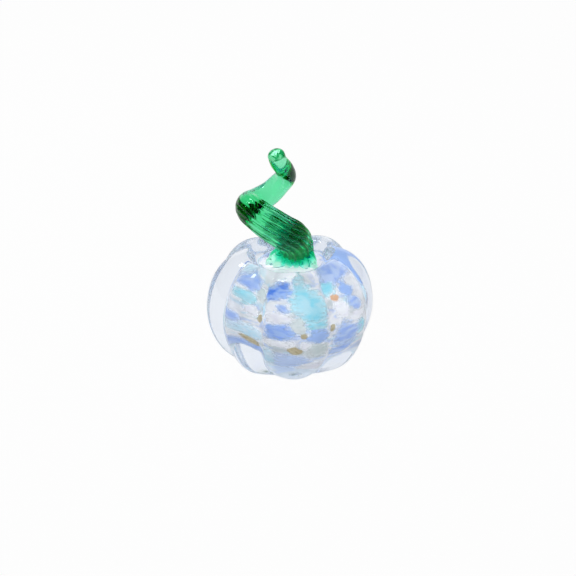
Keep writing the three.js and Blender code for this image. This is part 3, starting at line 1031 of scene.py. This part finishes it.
def rod_rings():
    rings = []
    for step, place in enumerate(stem_frames):
        share = step / STEM_STEPS
        ribs = RIB_HEIGHT / 2 * (1 - smoothstep(share, *RIB_FADE)) * rib_wave
        rings.append(ring_at(*place, stem_radius(share) + ribs, RIB_TWIST * share))
    return rings


def tip_rings():
    """The cut end of the rod: a round edge and a slightly domed face."""
    face_radius = stem_radius(1.0) - TIP_ROUND
    angles = np.linspace(0, math.pi / 2, TIP_ROWS + 1)[1:]
    profile = [(face_radius + TIP_ROUND * math.cos(angle), TIP_ROUND * math.sin(angle)) for angle in angles]
    profile += [(face_radius * share, TIP_ROUND + TIP_DOME * (1 - share ** 2)) for share in TIP_RINGS]
    end, *across = stem_frames[-1]
    return [ring_at(end + tangents[-1] * height, *across, radius, RIB_TWIST) for radius, height in profile]


stem_tip = stem_line[-1] + tangents[-1] * (TIP_ROUND + TIP_DOME)
print("stem tip in mm:", (stem_tip / MM).round(1))

# %% [markdown]
# The foot is where the hot rod was pressed down: the ribs end in scallops, and two tongues of glass ran out
# to the left and to the right. The foot flares from the rod to its edge. A tongue is a place where the flare
# reaches further and stays full up to its top, as an ear does, with a few soft folds in it.

# %% The scalloped foot
FOOT_RADIUS = 7.9 * MM
FOOT_OFFSET = 2.6 * MM
FOOT_SCALLOP = 1.5 * MM
FOOT_LIFT = 0.12 * MM
FOOT_EDGE = 0.8 * MM
FOOT_ROWS = 30
LIP_ROWS = 6
FLARE_POWER = 2.0
TONGUES = (
    {"azimuth": math.radians(-64), "width": math.radians(32), "reach": 6.2 * MM},
    {"azimuth": math.radians(42), "width": math.radians(24), "reach": 4.6 * MM},
)
EAR_POWER = 2.6
EAR_EDGE = 0.5 * MM
EAR_BREADTH = 1.6
FOLD_SIZE = (1.5 * MM, 1.5 * MM, 5 * MM)
FOLD_HEIGHT = 0.6 * MM
UNDERSIDE = (0.3, 0.6, 0.8)

level_normal = unit(normals[0] * (1, 1, 0))
level_binormal = np.cross((0, 0, 1), level_normal)
foot_bottom = seat_height + FOOT_LIFT
foot_middle = np.array([FOOT_OFFSET, 0, foot_bottom])


def foot_axes(start, share):
    """The centre and the two directions of a ring at a share of the way from start up to the rod."""
    centre = start + (stem_line[0] - start) * share
    normal = level_normal * (1 - share) + normals[0] * share
    return centre, normal, level_binormal * (1 - share) + binormals[0] * share


def foot_edge():
    """The foot's radius in each direction, and how much of a tongue there is there, from 0 to 1."""
    outward = np.outer(np.cos(turn), level_normal) + np.outer(np.sin(turn), level_binormal)
    azimuth = np.arctan2(outward[:, 0], -outward[:, 1])
    edge = FOOT_RADIUS + FOOT_SCALLOP * rib_wave
    roundness = np.zeros(STEM_COLUMNS)
    for tongue in TONGUES:
        away = half_turns(azimuth - tongue["azimuth"])
        share = np.exp(-(away / tongue["width"]) ** 2)
        edge += tongue["reach"] * share
        roundness += share
    return azimuth, edge, (EAR_BREADTH * roundness).clip(0, 1)


def flare(share, roundness):
    """What is left of the foot's reach at a share of its height: a tongue is full, the rest hugs the rod."""
    ear = (1 - share ** EAR_POWER) ** (1 / EAR_POWER)
    return (1 - share) ** FLARE_POWER * (1 - roundness) + ear * roundness


def folded_ring(centre, normal, binormal, radius, depth):
    """A ring of the foot, with folds of this depth in each direction."""
    ring = ring_at(centre, normal, binormal, radius, 0)
    folds = waviness(ring / FOLD_SIZE, 1.0) * depth
    return ring_at(centre, normal, binormal, radius + folds, 0)


def foot_rings():
    """Rings of the underside, of the round lip and of the skirt, which rises to the rod."""
    _, edge, roundness = foot_edge()
    lip = FOOT_EDGE + EAR_EDGE * roundness
    depth = FOLD_HEIGHT * roundness
    rod = stem_radius(0.0) + RIB_HEIGHT / 2 * rib_wave
    level = (foot_middle, level_normal, level_binormal)
    rings = [ring_at(*level, (edge - lip) * share, 0) for share in UNDERSIDE]
    for angle in np.linspace(-math.pi / 2, 0, LIP_ROWS):
        radius = edge - lip * (1 - math.cos(angle))
        ring = folded_ring(*level, radius, depth * math.cos(angle))
        rings.append(ring + np.outer(lip * (1 + math.sin(angle)), (0, 0, 1)))
    for share in np.linspace(0, 1, FOOT_ROWS + 1)[1:-1]:
        radius = rod + (edge - rod) * flare(share, roundness)
        ring = folded_ring(*foot_axes(foot_middle, share), radius, depth * (1 - share))
        rings.append(ring + np.outer(lip * (1 - share), (0, 0, 1)))
    return rings


stem_points, stem_faces = skin(
    np.array(foot_rings() + rod_rings() + tip_rings()),
    foot_middle,
    stem_tip,
)
print("points on the stem:", len(stem_points))

# %% Green glass
GREEN_TINT = (0.02, 0.88, 0.54, 1.0)
GREEN_DENSITY = 145.0
GREEN_GLOSS = (0.35, 1.0, 0.75, 1.0)
GREEN_TONES = (colour(236, 255, 244), colour(250, 255, 252))
GREEN_CORDS = 120.0


def make_green_glass():
    material, paint = start_finish("green_glass")
    cords = grain(paint, GREEN_CORDS, object_place(paint))
    glass = see_through(paint, cords, cords, GREEN_TONES, GREEN_GLOSS)
    end_finish(paint, glass, absorption(paint, GREEN_TINT, GREEN_DENSITY))
    return material


stem = add_object("curled_stem", stem_points, stem_faces, make_green_glass())
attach(stem, "root")
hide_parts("stem")
print("faces in the stem:", len(stem_faces))

# %% [markdown]
# The green lies in the middle: a colour rod is gathered over with clearer glass, so the stem has pale edges.
# In the foot the green is denser, and thins out at its ends. In the lower strand a denser green is painted
# shade: it stands in for the dark that the strand shows by bending light from the dim side of the room, and
# it thins out at its ends. Each has the same index as the glass round it, so its own surface is invisible: a
# transparent shader on the skin, and absorption in the volume.

# %% The colour rod in the stem
ROD_SHARE = 0.92
ROD_END = STEM_STEPS - 18
FOOT_HEART_ROWS = 12
TONGUE_SHARE = 0.4
ROD_DENSITY = 30.0


def make_tinted_heart(name, tint, density):
    material, paint = start_finish(name)
    clear = paint.node("ShaderNodeBsdfTransparent")
    end_finish(paint, clear, absorption(paint, tint, density))
    return material


def add_heart(name, rings, finish):
    rings = np.array(rings)
    poles = rings[[0, -1]].mean(axis=1)
    heart = add_object(name, *skin(rings, *poles), finish)
    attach(heart, "root")
    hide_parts("stem")
    return heart


def heart_rings(first, shares):
    """Rings inside the stem, one for each step from the first one on, at a share of its radius."""
    rings = []
    for step, share in enumerate(shares, first):
        radius = stem_radius(step / STEM_STEPS) * share
        rings.append(ring_at(*stem_frames[step], radius, 0))
    return rings


def foot_heart_rings(share_below, share_above):
    """Rings from the scallops of the foot, with the start of its tongues, up to the rod."""
    rings = []
    start = foot_middle + (0, 0, FOOT_EDGE / 4)
    scallops = FOOT_RADIUS + FOOT_SCALLOP * rib_wave
    edge = (scallops + (foot_edge()[1] - scallops) * TONGUE_SHARE) * share_below
    for share in np.linspace(0, 1, FOOT_HEART_ROWS, endpoint=False):
        radius = edge * (1 - share) + stem_radius(0.0) * share_above * share
        rings.append(ring_at(*foot_axes(start, share), radius, 0))
    return rings


rod = heart_rings(0, np.full(ROD_END, ROD_SHARE))
colour_rod = add_heart("colour_rod", rod, make_tinted_heart("rod_green", GREEN_TINT, ROD_DENSITY))
print("points on the colour rod:", len(colour_rod.data.vertices))

# %% The denser green in the foot, and painted shade in the lower strand
FOOT_TINT = (0.0, 0.89, 0.78, 1.0)
FOOT_DENSITY = 700.0
FOOT_SHARE = 0.94
FOOT_TOP_SHARE = 0.9
FOOT_END = 16
# Painted shade: a dense green in the lower strand stands in for the dark it shows by bending light from the
# dim side of the room.
STRAND_SHADE_TINT = (0.0, 0.88, 0.87, 1.0)
STRAND_SHADE_DENSITY = 900.0
STRAND_STEPS = (8, 20, 32, 62)
STRAND_SHARE = 0.9
THIN_SHARE = 0.08

fading = FOOT_TOP_SHARE * (1 - smoothstep(np.arange(FOOT_END), 0, FOOT_END))
dense_foot_rings = foot_heart_rings(FOOT_SHARE, FOOT_TOP_SHARE) + heart_rings(0, fading.clip(THIN_SHARE))
foot_green = make_tinted_heart("foot_green", FOOT_TINT, FOOT_DENSITY)
dense_foot = add_heart("dense_foot", dense_foot_rings, foot_green)

# Painted shade in the lower strand.
strand_start, full_from, full_to, strand_end = STRAND_STEPS
strand_steps = np.arange(strand_start, strand_end)
swelling = smoothstep(strand_steps, strand_start, full_from)
bulge = swelling * (1 - smoothstep(strand_steps, full_to, strand_end))
strand_shade_rings = heart_rings(strand_start, (STRAND_SHARE * bulge).clip(THIN_SHARE))
strand_shade_green = make_tinted_heart("strand_shade_green", STRAND_SHADE_TINT, STRAND_SHADE_DENSITY)
painted_strand_shade = add_heart("painted_strand_shade", strand_shade_rings, strand_shade_green)
print("points on the denser green:", len(dense_foot.data.vertices) + len(painted_strand_shade.data.vertices))

# %% [markdown]
# A rod of clear green would look black from its cut end, because light runs down inside it as in a pipe. So a
# thin lens of matt green, partly see-through, lies across the tip as painted light: it stands in for the
# light that the real tip lets through its end.

# %% Painted light in the cut tip
# Painted light: a matt green lens across the tip stands in for the light that comes through its end.
TIP_LIGHT_SHARES = np.array([0.3, 0.6, 0.78, 0.84])
TIP_LIGHT_TONES = (under_glass(25, 135, 80), under_glass(120, 210, 155))
TIP_LIGHT_MOTTLE = {"scale": 600.0, "shift": 5.0}
MOTTLE_EDGES = (0.4, 0.6)
TIP_LIGHT_ALPHA = 0.5


def make_painted_tip_light():
    material, paint = start_finish("painted_tip_light")
    mottle = cloud(paint, object_place(paint), **TIP_LIGHT_MOTTLE)
    painted_lens = paint.node("ShaderNodeBsdfPrincipled", {}, {
        "Base Color": mottle.rising(*MOTTLE_EDGES).blend(*TIP_LIGHT_TONES),
        "Roughness": MATT_ROUGHNESS + mottle * ROUGHNESS_SPREAD,
        "Specular IOR Level": 0.0,
        "Alpha": (TIP_LIGHT_ALPHA + mottle * (1 - TIP_LIGHT_ALPHA)) * (1 - lighting_rays(paint)),
    })
    end_finish(paint, painted_lens)
    return material


tip_light_rings = heart_rings(STEM_STEPS + 1 - len(TIP_LIGHT_SHARES), TIP_LIGHT_SHARES)
painted_tip_light = add_heart("painted_tip_light", tip_light_rings, make_painted_tip_light())
print("points on the haze:", len(painted_tip_light.data.vertices))

# %% [markdown]
# The foot is fused to the crown, so light passes between them unbent. Both materials are transparent where
# a point attribute named `fused` is 1: on the foot's underside and its lip, and on the seat beneath them.

# %% Fuse the foot to the crown
FLAT_TOLERANCE = 0.001 * MM

fused_points = (len(UNDERSIDE) + LIP_ROWS - 2) * STEM_COLUMNS
fused_on_stem = np.zeros(len(stem_points))
fused_on_stem[:fused_points] = 1
fused_on_stem[-2] = 1
mark_points(stem, "fused", fused_on_stem)

from_foot = glass_points - foot_middle
azimuth, edge, _ = foot_edge()
reach = np.interp(np.arctan2(from_foot[:, 0], -from_foot[:, 1]), azimuth, edge, period=2 * math.pi)
on_seat = np.abs(glass_points[:, 2] - seat_height) < FLAT_TOLERANCE
covered = np.linalg.norm(from_foot[:, :2], axis=1) < reach
mark_points(casing, "fused", on_seat & covered)
print("seat points under the foot:", int((on_seat & covered).sum()))
